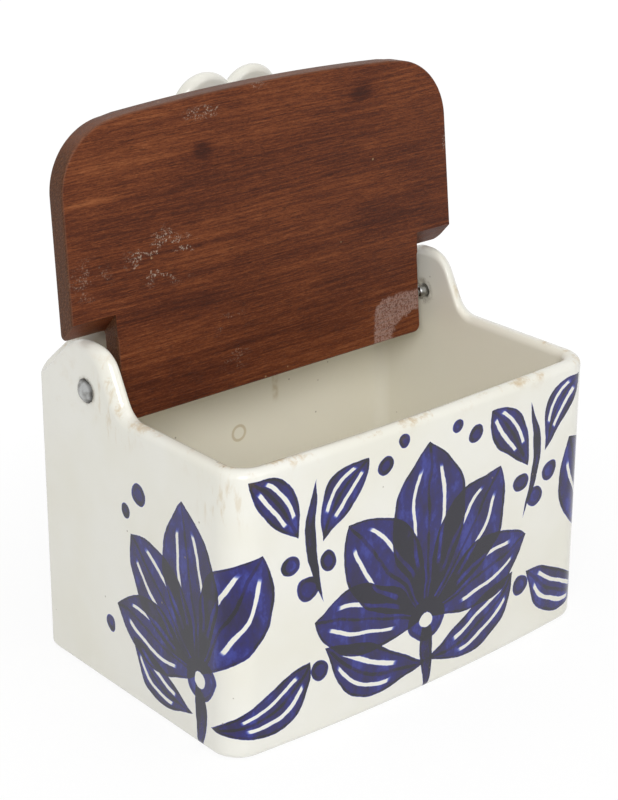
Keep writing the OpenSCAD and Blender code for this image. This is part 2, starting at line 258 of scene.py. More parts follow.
def make_ridge():
    """Stations of the ridge, from the notch of the crest to the middle of the front."""
    sin_side, cos_side = math.sin(rad(SIDE_ANGLE)), math.cos(rad(SIDE_ANGLE))
    fall, climb = math.tan(rad(SHOULDER)), math.tan(rad(EAR_BACK))
    # crest: a lobe, its straight side and the hollow sweep down to the shoulder
    lobe_z = CREST_H - LOBE_R
    sweep_s = LOBE_X + (LOBE_R + SWEEP_R) * sin_side + LOBE_DROP / math.tan(rad(SIDE_ANGLE))
    sweep_z = lobe_z + (LOBE_R + SWEEP_R) * cos_side - LOBE_DROP
    end_s = sweep_s - SWEEP_R * math.sin(rad(SHOULDER))
    end_z = sweep_z - SWEEP_R * math.cos(rad(SHOULDER))
    # dip: where the shoulder's line meets the line up the back of the ear
    ear_z, ear_s = RIM_H + EAR_RISE - EAR_R, side_s(HINGE_Y + EAR_SET + EAR_FLAT / 2)
    line_s = ear_s - EAR_R * math.sin(rad(EAR_BACK))
    line_z = ear_z + EAR_R * math.cos(rad(EAR_BACK))
    dip_s = (end_z - line_z + fall * end_s + climb * line_s) / (fall + climb)
    dip_z = end_z - fall * (dip_s - end_s)
    half, tilt = (SHOULDER + EAR_BACK) / 2, (EAR_BACK - SHOULDER) / 2
    up = DIP_R / math.cos(rad(half))
    # front of the ear, down to the rim
    curved = (EAR_R + EAR_FOOT_R) * (1 - math.cos(rad(EAR_FRONT)))
    run = max(0, EAR_RISE - curved) / math.tan(rad(EAR_FRONT))
    front_s = ear_s + EAR_FLAT
    foot_s = front_s + (EAR_R + EAR_FOOT_R) * math.sin(rad(EAR_FRONT)) + run
    valley = math.degrees(math.asin(LOBE_X / LOBE_R))
    notch = [(0.0, lobe_z + LOBE_R * math.cos(rad(valley)) + NOTCH_FILL, 0.0, 1.0)]
    lobe = arc(LOBE_X, lobe_z, LOBE_R, LOBE_START - valley, SIDE_ANGLE, LOBE_N)
    sweep = arc(sweep_s, sweep_z, -SWEEP_R, SIDE_ANGLE, SHOULDER, SWEEP_N)
    dip = arc(dip_s - up * math.sin(rad(tilt)), dip_z + up * math.cos(rad(tilt)), -DIP_R,
              SHOULDER, -EAR_BACK, DIP_N)
    ear_back = arc(ear_s, ear_z, EAR_R, -EAR_BACK, 0, EAR_BACK_N)
    ear_top = arc(front_s, ear_z, EAR_R, 0, EAR_FRONT, EAR_FRONT_N)
    foot = arc(foot_s, RIM_H + EAR_FOOT_R, -EAR_FOOT_R, EAR_FRONT, 0, FOOT_N)
    ridge = notch + lobe
    for part, n in ((sweep, TANGENT_N), (dip, SHOULDER_N), (ear_back, TANGENT_N),
                    (ear_top, TANGENT_N), (foot, TANGENT_N)):
        ridge += between(ridge[-1], part[0], n) + part
    return (ridge + level(foot_s, FRONT_START, SIDE_N)
            + level(FRONT_START, FRONT_MID - RUNS[4], CORNER_N)
            + level(FRONT_MID - RUNS[4], FRONT_MID, BOW_N))


LIP = 2  # marks the rows of the round lip


def make_rows():
    """Rows of the skin, as in the part's source: (offset, z, 0) for the base, (offset, low z,
    share of the way up) for the walls and (offset, depth, LIP) for the round lip."""
    quarter = [i * QUARTER / FILLET_N for i in range(FILLET_N + 1)]
    outer_base = [(MID - BASE_R * (1 - math.sin(a)), BASE_R * (1 - math.cos(a)), 0)
                  for a in quarter]
    levels = np.linspace(0, 1, WALL_N + 1)[1:]
    outer = [(MID, BASE_R, f) for f in levels]
    lip = [(MID * math.cos(a), MID * (1 - math.sin(a)), LIP)
           for a in np.linspace(0, math.pi, LIP_N + 1)[1:-1]]
    inner = [(-MID, FLOOR_T + WELL_R, f) for f in levels[::-1]]
    inner_base = [(-MID - WELL_R * (1 - math.cos(a)), FLOOR_T + WELL_R * (1 - math.sin(a)), 0)
                  for a in quarter]
    return outer_base + outer + lip + inner + inner_base


def body_point(row, st, side):
    """The point of a row at a station, held inside the CAD box in front and above."""
    if row[2] == LIP:
        z, s = st[1] - row[1] * st[3], st[0] - row[1] * st[2]
    else:
        z = row[1] + (st[1] - MID * st[3] - row[1]) * row[2]
        s = st[0] - MID * st[2]
    x, y = outline_point(max(0.0, min(FRONT_MID, s)), z, row[0])
    return side * x, max(y - lean(z) + TO_FRAME, cad_low[1] / MM), min(z, cad_high[2] / MM)


def bore_cutter(side):
    """The bore of one ear: a rounded mouth inside, a small bevel outside."""
    bore = SHANK_D / 2 + SHANK_PLAY
    ear_x = half_w(HINGE_Z) + MID
    inner_x = ear_x - WALL
    prof = [(inner_x - WALL, 0), (inner_x - WALL, bore + MOUTH_R), (inner_x, bore + MOUTH_R)]
    prof += [(inner_x + MOUTH_R * t, bore + MOUTH_R * (1 - math.sin(t * QUARTER)))
             for t in (0.25, 0.5, 0.75, 1)]
    prof += [(ear_x - BORE_EDGE, bore), (ear_x, bore + BORE_EDGE), (ear_x + WALL, bore + BORE_EDGE),
             (ear_x + WALL, 0)]
    prof = [(side * x, r) for x, r in (prof if side > 0 else prof[::-1])]
    return turned("cutter", prof, (0, HINGE_Y + TO_FRAME, HINGE_Z), BORE_SIDES)


def make_body():
    ridge, rows = make_ridge(), make_rows()
    last = len(ridge) - 1
    verts = []
    for row in rows:
        verts += [body_point(row, st, 1) for st in ridge]
        verts += [body_point(row, ridge[i], -1) for i in range(last - 1, 0, -1)]
    n = 2 * last
    faces = rings_to_faces(len(rows), n)
    for first, way in ((0, -1), ((len(rows) - 1) * n, 1)):
        verts.append(tuple(np.array(verts[first:first + n]).mean(0)))
        mid = len(verts) - 1
        for i in range(n):
            k = (i + 1) % n
            faces.append((mid, first + i, first + k) if way > 0 else (mid, first + k, first + i))
    body = to_object("box_glazed", verts, faces)
    hole = turned("cutter", bar(HANG_D / 2, 20), (0, 0, 0), HOLE_SIDES)
    hole_at = Matrix.Translation((0, (TO_FRAME - MID) * MM, (CREST_H - HANG_DROP) * MM))
    hole.matrix_world = hole_at @ Matrix.Rotation(rad(90), 4, "Z")
    cutters = [bore_cutter(-1), bore_cutter(1), hole]
    bpy.context.view_layer.update()
    cut(body, cutters, BODY_SHARP)
    around(body)
    return body


def around(body):
    """Stores where each point lies on the walls: length round the outside from the middle of the
    front, height, and place across the wall from 0 inside to 1 outside."""
    out = []
    for x, y, z in coords(body):
        o = outline(z, MID)
        c = corner(o)
        ax, yy = abs(x), y - TO_FRAME + lean(z)
        bow_turn = QUARTER - c[2]
        bow_len, bend_len = o[4] * bow_turn, o[3] * c[2]
        bow_angle = math.atan2(ax, o[5] - yy)
        if bow_angle < bow_turn and yy < c[1]:
            u, off = o[4] * bow_angle, math.hypot(ax, yy - o[5]) - o[4]
        elif yy < c[1]:
            a = math.atan2(ax - c[0], c[1] - yy)
            u, off = bow_len + o[3] * (a - bow_turn), math.hypot(ax - c[0], yy - c[1]) - o[3]
        else:
            u, off = bow_len + bend_len + yy - c[1], max(ax - o[0], yy - o[1])
        out.append((math.copysign(u, x), z, max(0.0, min(1.0, 1 + off / WALL))))
    point_vector(body, "around", out)


# ---------------------------------------------------------------- the wooden lid
def rounded(before, at, after, r, n):
    """Points and outward directions on the arc that rounds a corner of the board."""
    before, at, after = (np.array(p, float) for p in (before, at, after))
    d0, d1 = at - before, after - at
    d0, d1 = d0 / np.linalg.norm(d0), d1 / np.linalg.norm(d1)
    turn = math.atan2(d0[0] * d1[1] - d0[1] * d1[0], d0 @ d1)
    way = 1 if turn > 0 else -1
    c = at - d0 * r * math.tan(abs(turn) / 2) + way * r * np.array([-d0[1], d0[0]])
    a0 = math.atan2(-d0[0] * way, d0[1] * way)
    out = []
    for i in range(n + 1):
        a = a0 + turn * i / n
        v = np.array([math.cos(a), math.sin(a)])
        out.append((c + r * v, way * v))
    return out


def straight(a, b, n):
    """Points on the straight edge between two outline points."""
    return [(a[0] + (b[0] - a[0]) * i / n, a[1] + (b[1] - a[1]) * i / n) for i in range(1, n)]


def board_outline():
    """(point, outward direction) round the board, as (x, distance from the hinge line)."""
    nw, hw, mid = NECK_W / 2, LEAF_W / 2, (LEAF_W / 2 - LEAF_TAPER, LEAF_REACH - LEAF_BOW)
    r = (mid[0] ** 2 + LEAF_BOW ** 2) / (2 * LEAF_BOW)
    a = math.asin((mid[0] - LEAF_CORNER_R) / r)
    aim = (mid[0] - math.cos(a), mid[1] + math.sin(a))
    half = rounded((0, -NECK_BACK), (nw, -NECK_BACK), (nw, 0), NECK_CORNER_R, 10)
    root = rounded((nw, 0), (nw, LEAF_START), (hw, LEAF_START), NECK_ROOT_R, 6)
    shoulder = rounded((nw, LEAF_START), (hw, LEAF_START), mid, LEAF_SHOULDER_R, 10)
    front_corner = rounded((hw, LEAF_START), mid, aim, LEAF_CORNER_R, 36)
    for part, n in ((root, 14), (shoulder, 6), (front_corner, 30)):
        half += straight(half[-1], part[0], n) + part
    front = []
    for i in range(1, LEAF_FRONT_N):
        b = a * (1 - 2 * i / LEAF_FRONT_N)
        front.append((np.array([r * math.sin(b), LEAF_REACH - r * (1 - math.cos(b))]),
                      np.array([math.sin(b), math.cos(b)])))
    left = [(np.array([-p[0], p[1]]), np.array([-v[0], v[1]])) for p, v in reversed(half)]
    return half + front + left


LID_TURN = Matrix.Rotation(rad(90 - LID_LEAN), 4, "X")
LID_AT = Vector((0, HINGE_Y + TO_FRAME, HINGE_Z))


def stand_lid(points):
    """Turns board points (x, distance from the hinge line, height over the board's middle) to
    where the open lid stands."""
    m = np.array(LID_TURN.to_3x3())
    return np.asarray(points, float) @ m.T + np.array(LID_AT)


def bevel_cutter(side):
    """The wedge that takes the bevel from under one shoulder."""
    slope, past = BEVEL / LID_T, LID_T
    side_profile = [(LEAF_START - slope * past, -LID_T / 2 - past),
                    (LEAF_START + BEVEL + slope * past, LID_T / 2 + past),
                    (-past, LID_T / 2 + past), (-past, -LID_T / 2 - past)]
    near, far = side * NECK_W / 2, side * (NECK_W / 2 + LEAF_W)
    verts = [(x, y, z) for x in (near, far) for y, z in side_profile]
    faces = [(0, 1, 2, 3), (7, 6, 5, 4)]
    faces += [(i, i + 4, (i + 1) % 4 + 4, (i + 1) % 4) for i in range(4)]
    if side > 0:
        faces = [f[::-1] for f in faces]
    return to_object("cutter", stand_lid(verts), faces, smooth=False)


def make_lid():
    outline_points = board_outline()
    n = len(outline_points)
    flat_in = EDGE_R + EDGE_INSET
    quarter = np.linspace(0, QUARTER, EDGE_N + 1)
    turn_in = [(EDGE_R * (1 - math.cos(a)), EDGE_R * (1 - math.sin(a))) for a in quarter]
    rows = [(flat_in, 0.0)] + turn_in[::-1]
    rows += [(0.0, EDGE_R + (LID_T - 2 * EDGE_R) * f) for f in (0.25, 0.5, 0.75)]
    rows += [(off, LID_T - h) for off, h in turn_in] + [(flat_in, LID_T)]
    board = []
    for off, h in rows:
        board += [(p[0] - off * v[0], p[1] - off * v[1], h - LID_T / 2) for p, v in outline_points]
    faces = rings_to_faces(len(rows), n)
    faces += [tuple(range(n - 1, -1, -1)), tuple(range((len(rows) - 1) * n, len(rows) * n))]
    lid = to_object("lid_wood", stand_lid(board), faces)
    cutters, drill = [], 30
    for side in (-1, 1):
        hole_x = side * (NECK_W / 2 + drill - THREAD_DEPTH)
        cutters += [bevel_cutter(side),
                    turned("cutter", bar(THREAD_D / 2, drill),
                           (hole_x, HINGE_Y + TO_FRAME, HINGE_Z), THREAD_SIDES)]
    cut(lid, cutters, LID_SHARP)
    m = np.array(LID_TURN.to_3x3())
    local = (coords(lid) - np.array(LID_AT)) @ m
    point_vector(lid, "board", local)
    # distance of each point from the outline, for the wear and the painted sheen along the edge
    line = np.array([p for p, v in outline_points])
    ahead = np.roll(line, -1, 0) - line
    edge = np.full(len(local), np.inf)
    for a, d in zip(line, ahead):
        rel = local[:, :2] - a
        part = np.clip(rel @ d / (d @ d), 0, 1)
        edge = np.minimum(edge, np.linalg.norm(rel - part[:, None] * d, axis=1))
    layer = lid.data.attributes.new("edge", "FLOAT", "POINT")
    layer.data.foreach_set("value", edge.astype(np.float32))
    return lid


# ---------------------------------------------------------------- the hinge screws
def make_screw(side):
    """Thinner threaded end, smooth shank and domed head, turned in one."""
    head_x = half_w(HINGE_Z) + MID + HEAD_GAP
    head_r, shank_r, thread_r = HEAD_D / 2, SHANK_D / 2, THREAD_D / 2
    dome_r = (head_r * head_r + HEAD_H * HEAD_H) / (2 * HEAD_H)
    shank_end = head_x - HEAD_GAP - WALL - SHANK_PROUD
    tip = NECK_W / 2 - THREAD_DEPTH + THREAD_D
    prof = [(tip - thread_r, 0), (tip, thread_r), (shank_end - THREAD_OUT, thread_r),
            (shank_end - SHANK_EDGE, shank_r - SHANK_EDGE), (shank_end + SHANK_EDGE, shank_r),
            (head_x, shank_r), (head_x, head_r - HEAD_EDGE),
            (head_x + HEAD_EDGE_H, head_r - HEAD_EDGE_H)]
    for a in np.linspace(math.asin(head_r / dome_r) * DOME_PART, 0, DOME_N):
        prof.append((head_x + HEAD_H - dome_r * (1 - math.cos(a)), dome_r * math.sin(a)))
    prof = [(side * x, q) for x, q in prof]
    if side < 0:
        prof = prof[::-1]
    name = "screw_right" if side > 0 else "screw_left"
    return turned(name, prof, (0, HINGE_Y + TO_FRAME, HINGE_Z), SCREW_SIDES, SCREW_SHARP)


# ---------------------------------------------------------------- material helpers
HALF = (0.5, 0.5, 0.5)
NEVER = math.inf  # radius of an oval in a direction that doesn't count


class Graph:
    """Short calls that add and join shader nodes."""

    def __init__(self, tree):
        self.tree = tree

    def put(self, socket, value):
        if isinstance(value, bpy.types.NodeSocket):
            self.tree.links.new(value, socket)
        elif value is not None:
            if isinstance(value, (tuple, list)) and len(value) == 3 and socket.type == "RGBA":
                value = (*value, 1.0)
            socket.default_value = value

    def add(self, kind, inputs=(), **props):
        node = self.tree.nodes.new(kind)
        for key, value in props.items():
            setattr(node, key, value)
        for key, value in dict(inputs).items():
            self.put(node.inputs[key], value)
        return node

    def math(self, op, *values):
        node = self.add("ShaderNodeMath", operation=op)
        for i, value in enumerate(values):
            self.put(node.inputs[i], value)
        return node.outputs[0]

    def chain(self, op, values):
        total = values[0]
        for value in values[1:]:
            total = self.math(op, total, value)
        return total

    def mul(self, *values):
        return self.chain("MULTIPLY", values)

    def plus(self, *values):
        return self.chain("ADD", values)

    def minus(self, a, b):
        return self.math("SUBTRACT", a, b)

    def most(self, *values):
        return self.chain("MAXIMUM", values)

    def away(self, value, centre):
        """How far a value is from a centre."""
        return self.math("ABSOLUTE", self.minus(value, centre))

    def vec(self, op, a, b=None, scale=None):
        node = self.add("ShaderNodeVectorMath", operation=op)
        self.put(node.inputs[0], a)
        if b is not None:
            self.put(node.inputs[1], b)
        if scale is not None:
            self.put(node.inputs["Scale"], scale)
        return node.outputs["Value" if op in ("LENGTH", "DISTANCE") else "Vector"]

    def split(self, vector):
        return self.add("ShaderNodeSeparateXYZ", {0: vector}).outputs

    def join(self, x, y, z=0.0):
        return self.add("ShaderNodeCombineXYZ", {0: x, 1: y, 2: z}).outputs[0]

    def attribute(self, name, output):
        return self.add("ShaderNodeAttribute", attribute_name=name).outputs[output]

    def place_mm(self):
        """The point on the piece, in mm of the part's frame."""
        return self.vec("SCALE", self.add("ShaderNodeTexCoord").outputs["Object"], scale=1 / MM)

    def oval(self, vector, centre, radii):
        """Distance from a centre as a share of the radii of an oval."""
        off = self.vec("SUBTRACT", vector, centre)
        return self.vec("LENGTH", self.vec("MULTIPLY", off, tuple(1 / r for r in radii)))

    def noise(self, vector, scale, detail=2.0, rough=0.5, colour=False):
        """Noise with one scale, or with a scale for each axis."""
        if isinstance(scale, tuple):
            vector, scale = self.vec("MULTIPLY", vector, scale), 1.0
        node = self.add("ShaderNodeTexNoise", {"Vector": vector, "Scale": scale, "Detail": detail,
                                               "Roughness": rough})
        return node.outputs["Color" if colour else "Fac"]

    def stir(self, vector, noise, amount):
        """Moves a point by up to half the amount either way."""
        off = self.vec("SUBTRACT", noise, HALF)
        if isinstance(amount, tuple):
            return self.vec("ADD", vector, self.vec("MULTIPLY", off, amount))
        return self.vec("ADD", vector, self.vec("SCALE", off, scale=amount))

    def cells(self, vector, scale):
        """Distance from the middle of scattered cells."""
        node = self.add("ShaderNodeTexVoronoi", {"Vector": vector, "Scale": scale,
                                                 "Randomness": 1.0})
        return node.outputs["Distance"]

    def smooth(self, value, low, high, to_low=0.0, to_high=1.0):
        node = self.add("ShaderNodeMapRange",
                        {"Value": value, 1: low, 2: high, 3: to_low, 4: to_high},
                        interpolation_type="SMOOTHSTEP")
        return node.outputs[0]

    def band(self, value, centre, gone, full):
        """1 within `full` of the centre, and 0 from `gone` on."""
        return self.smooth(self.away(value, centre), gone, full)

    def ramp(self, value, stops):
        node = self.add("ShaderNodeValToRGB", {"Fac": value})
        elements = node.color_ramp.elements
        while len(elements) < len(stops):
            elements.new(0.5)
        for element, (place, colour) in zip(elements, stops):
            element.position, element.color = place, (*colour, 1.0)
        return node.outputs[0]

    def mix(self, factor, a, b):
        node = self.add("ShaderNodeMix", data_type="RGBA")
        self.put(node.inputs[0], factor)
        self.put(node.inputs[6], a)
        self.put(node.inputs[7], b)
        return node.outputs[2]

    def tint(self, colour, mask, weight, over):
        """Lays a colour over another where the mask says, at most as strong as the weight."""
        return self.mix(self.mul(mask, weight), colour, over)

    def bump(self, shader, height, strength, distance):
        node = self.add("ShaderNodeBump", {"Height": height, "Strength": strength,
                                           "Distance": distance})
        self.put(shader.inputs["Normal"], node.outputs[0])


def material(name):
    """A new material, its graph and its surface shader."""
    mat = bpy.data.materials.new(name)
    mat.use_nodes = True
    mat.node_tree.nodes.clear()
    g = Graph(mat.node_tree)
    shader = g.add("ShaderNodeBsdfPrincipled")
    g.out = g.add("ShaderNodeOutputMaterial", {"Surface": shader.outputs[0]})
    return mat, g, shader


def srgb(r, g, b):
    """Linear colour from 0-255 display values."""
    return tuple(((c / 255 + 0.055) / 1.055) ** 2.4 if c > 10 else c / 255 / 12.92
                 for c in (r, g, b))


# ---------------------------------------------------------------- painted decoration
WASH_INK, STEM_INK = 0.66, 0.9
STROKE_SWELL, EDGE_INK, SPINE_INK, BERRY_INK, BERRY_EDGE_INK = 0.32, 0.32, 0.35, 0.62, 0.3
SLIT_AT, SLIT_MID = 0.42, 0.12  # share of the half width and of the half length
PETAL_TURN, PETALS_A_SIDE = 36, 2
PETAL_LENGTH, PETAL_SHORTER, PETAL_WIDTH, PETAL_NARROWER, PETAL_REACH = 30, 3.4, 15.2, 1.3, 1.06
HUB_R, HUB_IN, HUB_OUT = 6, 0.36, 0.44  # larger dots are rings with a bare middle


def fan(u, v, tilt, scale):
    """A fan of petals that opens upward from its foot."""
    made = []
    for i in range(-PETALS_A_SIDE, PETALS_A_SIDE + 1):
        a = tilt + PETAL_TURN * i
        length = (PETAL_LENGTH - PETAL_SHORTER * abs(i)) * scale
        reach = length * PETAL_REACH
        made.append((u + reach * math.sin(rad(a)), v + reach * math.cos(rad(a)), a, length,
                     (PETAL_WIDTH - PETAL_NARROWER * abs(i)) * scale, 0.0, 1.0, WASH_INK))
    return made


# Brush strokes on one half of the box, which the other half mirrors. Each has the (u, v) of its
# middle in mm, tilt from upright in degrees, half length, half width, bend, slit and ink.
STROKES = [s for s in fan(0, 31, 0, 1.17) if s[0] >= -1] + fan(104, 29, 9, 1.08)[1:] + [
    (0, 15, 0, 17, 3.4, 0, 0, STEM_INK),
    (27, 17, 66, 26, 9.5, 7, 1, WASH_INK),
    (74, 16, -66, 23, 8.5, -6, 1, WASH_INK),
    (103, 13, 3, 15, 3.2, -3, 0, STEM_INK),
    (129, 15, 68, 20, 7.5, 5, 1, WASH_INK),
    (56, 80, 4, 24, 2.2, 4, 0, STEM_INK),
    (43, 95, -36, 17, 7.8, 3, 1, WASH_INK),
    (69, 98, 38, 16, 7.2, -3, 1, WASH_INK),
]

# Hubs and berries on one half: (u, v, radius).
DOTS = [(0, 30, 9.5), (104, 28, 8.5), (57, 63, 4.6), (48, 72, 4.0), (65, 73, 4.2),
        (23, 101, 3.6), (13, 107, 2.6), (140, 88, 3.8), (149, 79, 2.8), (52, 26, 4.2),
        (160, 27, 3.2)]


def stroke_group():
    """Brush stroke with two pointed ends. It gives the ink of one stroke: an even wash, a darker
    edge where the pigment gathers, a dark spine and two bare slits beside the spine."""
    tree = bpy.data.node_groups.new("brush_stroke", "ShaderNodeTree")
    face = tree.interface
    face.new_socket("Place", in_out="INPUT", socket_type="NodeSocketVector")
    for name in ("Length", "Width", "Bend", "Slit", "Ink"):
        face.new_socket(name, in_out="INPUT", socket_type="NodeSocketFloat")
    face.new_socket("Ink", in_out="OUTPUT", socket_type="NodeSocketFloat")
    g = Graph(tree)
    given, out = g.add("NodeGroupInput").outputs, g.add("NodeGroupOutput")
    x, y, _ = g.split(given["Place"])
    along = g.math("DIVIDE", y, given["Length"])
    along = g.most(g.math("MINIMUM", along, 1.3), -1.3)
    square = g.mul(along, along)
    swell = g.math("MULTIPLY_ADD", along, STROKE_SWELL, 1.0)
    half = g.mul(g.minus(1.0, square), swell, given["Width"])
    side = g.math("ABSOLUTE", g.plus(x, g.mul(square, given["Bend"])))
    depth = g.minus(half, side)
    wash = g.smooth(depth, -0.25, 0.3)
    edge = g.mul(g.smooth(depth, 1.6, 0.7), EDGE_INK)
    spine = g.mul(g.smooth(side, 0.9, 0.35), g.mul(given["Slit"], SPINE_INK))
    slit = g.band(side, g.mul(half, SLIT_AT), 1.15, 0.6)
    slit = g.mul(slit, g.band(along, SLIT_MID, 0.62, 0.5), given["Slit"])
    ink = g.plus(given["Ink"], g.plus(edge, spine))
    g.put(out.inputs[0], g.mul(ink, wash, g.minus(1.0, slit)))
    return tree


def paint(g, place):
    """Ink of the whole decoration, about 0.6 for one layer and 1 or more where layers meet."""
    group = stroke_group()
    moved = g.stir(place, g.noise(place, 0.045, 1.0, 0.4, colour=True), 6.5)
    moved = g.stir(moved, g.noise(place, 0.35, 2.0, colour=True), 0.5)
    u, v, _ = g.split(moved)
    point = g.join(g.math("ABSOLUTE", u), v)
    total = None
    for u0, v0, tilt, length, width, bend, slit, ink in STROKES:
        local = g.add("ShaderNodeMapping", {"Vector": point, "Location": (u0, v0, 0),
                                            "Rotation": (0, 0, -rad(tilt))}, vector_type="TEXTURE")
        node = g.add("ShaderNodeGroup", node_tree=group)
        for i, value in enumerate((local.outputs[0], length, width, bend, slit, ink)):
            g.put(node.inputs[i], value)
        total = node.outputs[0] if total is None else g.plus(total, node.outputs[0])
    for u0, v0, r in DOTS:
        far = g.vec("DISTANCE", point, (u0, v0, 0))
        dot = g.mul(g.smooth(far, r + 0.25, r - 0.3), BERRY_INK)
        dot = g.plus(dot, g.mul(g.band(far, r - 1.0, 1.2, 0.3), BERRY_EDGE_INK))
        if r > HUB_R:
            hole = g.smooth(far, r * HUB_IN, r * HUB_OUT)
            dot, total = g.mul(dot, hole), g.mul(total, hole)
        total = g.plus(total, dot)
    return total


# ---------------------------------------------------------------- glaze
WHITE_GLAZE, SHADED_GLAZE = srgb(233, 232, 224), srgb(229, 227, 215)
# a brighter, yellower copy of the glaze for the inside of the well: painted light
LIT_WELL_GLAZE = srgb(240, 236, 221)
BLUES = [(0.0, WHITE_GLAZE), (0.14, srgb(140, 152, 204)), (0.32, srgb(52, 60, 152)),
         (0.52, srgb(25, 20, 102)), (0.74, srgb(28, 18, 76)), (0.92, srgb(22, 15, 46)),
         (1.0, srgb(20, 17, 34))]
RIM_STAIN, RUN_STAIN, DRIED = srgb(190, 158, 100), srgb(190, 160, 98), srgb(184, 160, 104)
# the second colour is painted shade for the ring round the screw heads
SPECK, BORE_SHADE = srgb(128, 112, 92), srgb(120, 104, 74)
BARE_BACK_Y, PAINT_END_Y, BACK_WALL_Y = 56.0, 48.0, 45.0
CORNER_U, EAR_Y = 93.0, 12.0
DROP_AT, DROP_R, SMEAR_X, SMEAR_Z = (3.4, 67.4, 0.0), 3.2, 23.0, 84.0
HINGE_AT = (HINGE_Y + TO_FRAME, HINGE_Z, 0.0)


def glaze_material():
    mat, g, shader = material("glazed_ceramic")
    u, v, skin = g.split(g.attribute("around", "Vector"))
    place = g.join(u, v)
    obj = g.place_mm()
    x, y, z = g.split(obj)
    # the paint is on the front and sides only, with wet and dry places of the wash
    painted = g.mul(g.smooth(skin, 0.72, 0.97), g.smooth(y, BARE_BACK_Y, PAINT_END_Y))
    pool, grain = g.noise(place, (0.12, 0.06, 0.0), 4.0, 0.6), g.noise(obj, 0.9, 3.0, 0.6)
    wash = g.plus(g.smooth(pool, 0.32, 0.68, 0.60, 1.22), g.mul(g.minus(grain, 0.5), 0.2))
    ink = g.mul(paint(g, place), painted, wash)
    base = g.mix(g.smooth(g.noise(obj, 0.018, 3.0, 0.6), 0.35, 0.7), WHITE_GLAZE, SHADED_GLAZE)
    # painted light: the inside of the well and of the ears gets a brighter, yellower copy of the
    # glaze, which lifts the shade there and gives it the warm cast of light bounced inside
    inside = g.mul(g.smooth(skin, 0.6, 0.15), g.smooth(z, 136.0, 106.0))
    base = g.mix(inside, base, LIT_WELL_GLAZE)
    colour = g.mix(g.smooth(ink, 0.02, 0.2), base, g.ramp(ink, BLUES))
    # stains along the rim and the ears, where the glaze is thin or crazed
    blotch = g.noise(g.vec("ADD", g.vec("SCALE", obj, scale=0.10), (3.1, 7.7, 1.3)), 1.0, 6.0, 0.72)
    lip = g.mul(g.smooth(skin, 0.05, 0.4), g.smooth(skin, 1.05, 0.85))
    near_rim = g.mul(g.smooth(z, 104.0, 112.0), g.smooth(z, 140.0, 126.0))
    stained = g.mul(g.smooth(blotch, 0.50, 0.68), lip, near_rim)
    colour = g.tint(colour, stained, 0.6, RIM_STAIN)
    # faint runs of rust brown below the front corners of the rim and down the front of the ears
    corner_run = g.mul(g.band(g.math("ABSOLUTE", u), CORNER_U, 15.0, 5.0),
                       g.smooth(z, 88.0, 101.0), g.smooth(z, 114.0, 108.0))
    ear_run = g.mul(g.band(y, EAR_Y, 16.0, 6.0), g.smooth(z, 101.0, 110.0),
                    g.smooth(z, 132.0, 124.0))
    streaky = g.smooth(g.noise(place, (0.30, 0.07, 0.0), 4.0, 0.65), 0.5, 0.68)
    runs = g.mul(g.most(corner_run, ear_run), streaky, g.smooth(skin, 0.4, 0.8))
    colour = g.tint(colour, runs, 0.34, RUN_STAIN)
    # a dried drop and a run inside on the back wall
    ring = g.band(g.vec("DISTANCE", g.join(x, z), DROP_AT), DROP_R, 0.9, 0.3)
    smear = g.mul(g.band(x, SMEAR_X, 2.2, 0.6), g.band(z, SMEAR_Z, 9.0, 3.0),
                  g.smooth(g.noise(obj, 0.16, 2.0, 0.5), 0.3, 0.6))
    back_wall = g.mul(g.smooth(skin, 0.3, 0.1), g.math("GREATER_THAN", y, BACK_WALL_Y))
    mark = g.mul(g.most(g.mul(ring, 0.45), g.mul(smear, 0.5)), back_wall)
    colour = g.mix(mark, colour, DRIED)
    speck = g.cells(obj, 0.085)
    colour = g.tint(colour, g.smooth(speck, 0.045, 0.025), 0.55, SPECK)
    # painted shade: a darker, blotchy ring on the ears round the bores, where the screw heads meet
    # the ear
    bore = g.vec("DISTANCE", g.join(y, z), HINGE_AT)
    bore_shade = g.mul(g.smooth(bore, 6.4, 4.6), g.smooth(g.noise(obj, 0.5, 3.0, 0.6), 0.3, 0.7))
    colour = g.tint(colour, bore_shade, 0.55, BORE_SHADE)
    g.put(shader.inputs["Base Color"], colour)
    g.put(shader.inputs["Roughness"],
          g.smooth(g.noise(obj, 0.05, 4.0, 0.6), 0.3, 0.75, 0.14, 0.24))
    shader.inputs["IOR"].default_value = 1.5
    shader.inputs["Coat Weight"].default_value = 0.12
    shader.inputs["Coat Roughness"].default_value = 0.06
    waves, pits = g.noise(obj, 0.04, 2.0, 0.5), g.smooth(speck, 0.0, 0.05)
    g.bump(shader, g.plus(g.mul(waves, 0.5), g.mul(pits, 0.05)), 0.45, 0.0012)
    return mat


# ---------------------------------------------------------------- wood
WOODS = [(0.0, srgb(55, 23, 12)), (0.3, srgb(81, 38, 20)), (0.55, srgb(100, 51, 27)),
         (0.8, srgb(118, 64, 35)), (1.0, srgb(140, 83, 49))]
END_WOODS = [(0.3, srgb(42, 23, 13)), (0.5, srgb(80, 50, 32)), (0.7, srgb(116, 80, 54))]
# the third colour is for the edge band: wear and painted sheen
PORE, PALE_FLECK, WORN_AND_SHEEN = srgb(46, 20, 12), srgb(150, 96, 62), srgb(110, 82, 66)
CRUST, SALT, PALE_DOT = srgb(168, 140, 130), srgb(206, 190, 172), srgb(196, 164, 124)
# two small knots, and the broad darker patches of the leaf: (x, distance from the hinge line),
# radii and depth of tone
KNOTS = (((-30, 79, 0.0), (5, 3.6, NEVER), 0.15), ((48, 89, 0.0), (6.5, 4, NEVER), 0.12),
         ((55, 38, 0.0), (26, 7, NEVER), 0.05), ((-52, 24, 0.0), (30, 6, NEVER), 0.05))
PALE_STREAK = ((-80.0, 69.0, 4.4), (16, 1.8, 10))
